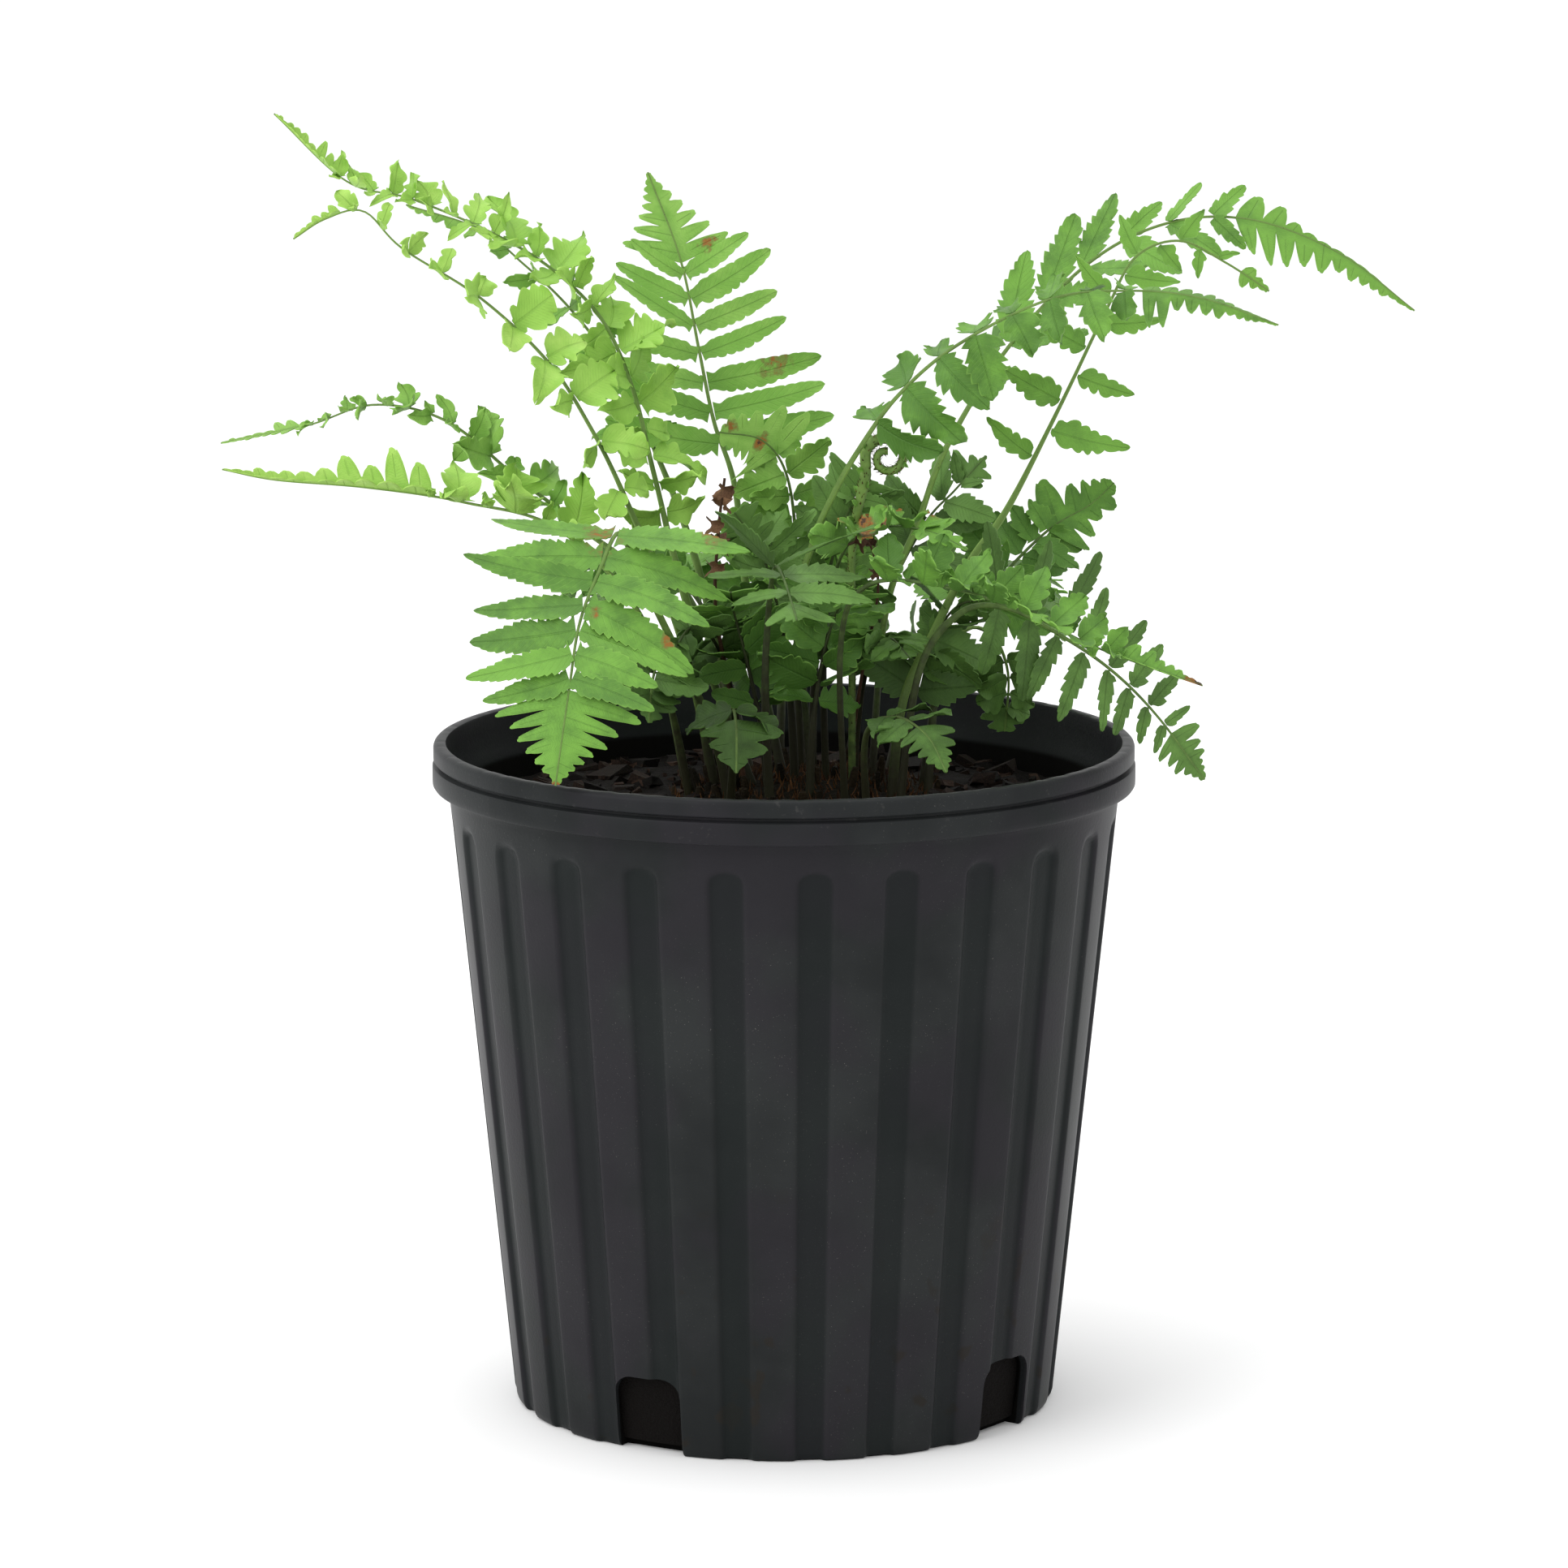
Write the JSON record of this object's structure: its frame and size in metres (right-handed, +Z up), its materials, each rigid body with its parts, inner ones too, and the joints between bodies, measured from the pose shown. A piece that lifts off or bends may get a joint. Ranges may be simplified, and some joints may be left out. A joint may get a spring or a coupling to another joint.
{
  "type": "potted fern",
  "caption": "Arching fern with serrate, lobed leaflets and a rolled young frond, growing from a knobbly crown in a round fluted black nursery pot.",
  "frame": {"origin": "middle of the pot's flat underside", "axes": "+Z up out of the pot; -Y towards the picture's camera; +X to the right in the picture"},
  "size_m": [0.3915, 0.2542, 0.4184],
  "materials": {
    "pot": "satin",
    "potting_mix": "matte",
    "crown": "matte",
    "frond_bright": "satin",
    "frond_mid": "satin",
    "frond_dark": "satin",
    "crozier": "satin"
  },
  "bodies": {
    "root": {"pot": "pot", "potting_mix": "potting_mix", "crown": "crown", "front_left": "frond_mid", "front_centre": "frond_dark", "upper_left_high": "frond_mid", "upper_left_low": "frond_bright", "upper_left_back": "frond_dark", "mid_left_high": "frond_mid", "mid_left_low": "frond_bright", "centre_tall": "frond_bright", "centre_short": "frond_dark", "upper_right": "frond_bright", "upper_right_front": "frond_dark", "right_tall": "frond_bright", "right_front": "frond_bright", "right_front_low": "frond_dark", "right_mid": "frond_mid", "right_hanging": "frond_bright", "low_front_left": "frond_dark", "low_front_right": "frond_mid", "low_left": "frond_mid", "inner_left": "frond_dark", "inner_right": "frond_dark", "centre_right": "frond_dark", "centre_brown": "frond_mid", "left_inner": "frond_dark", "back_left": "frond_mid", "back_centre": "frond_mid", "back_right": "frond_mid", "inner_front": "frond_dark", "inner_centre": "frond_dark", "inner_far_right": "frond_dark", "inner_back": "frond_dark", "inner_middle": "frond_dark", "crozier": "crozier"}
  },
  "joints": []
}
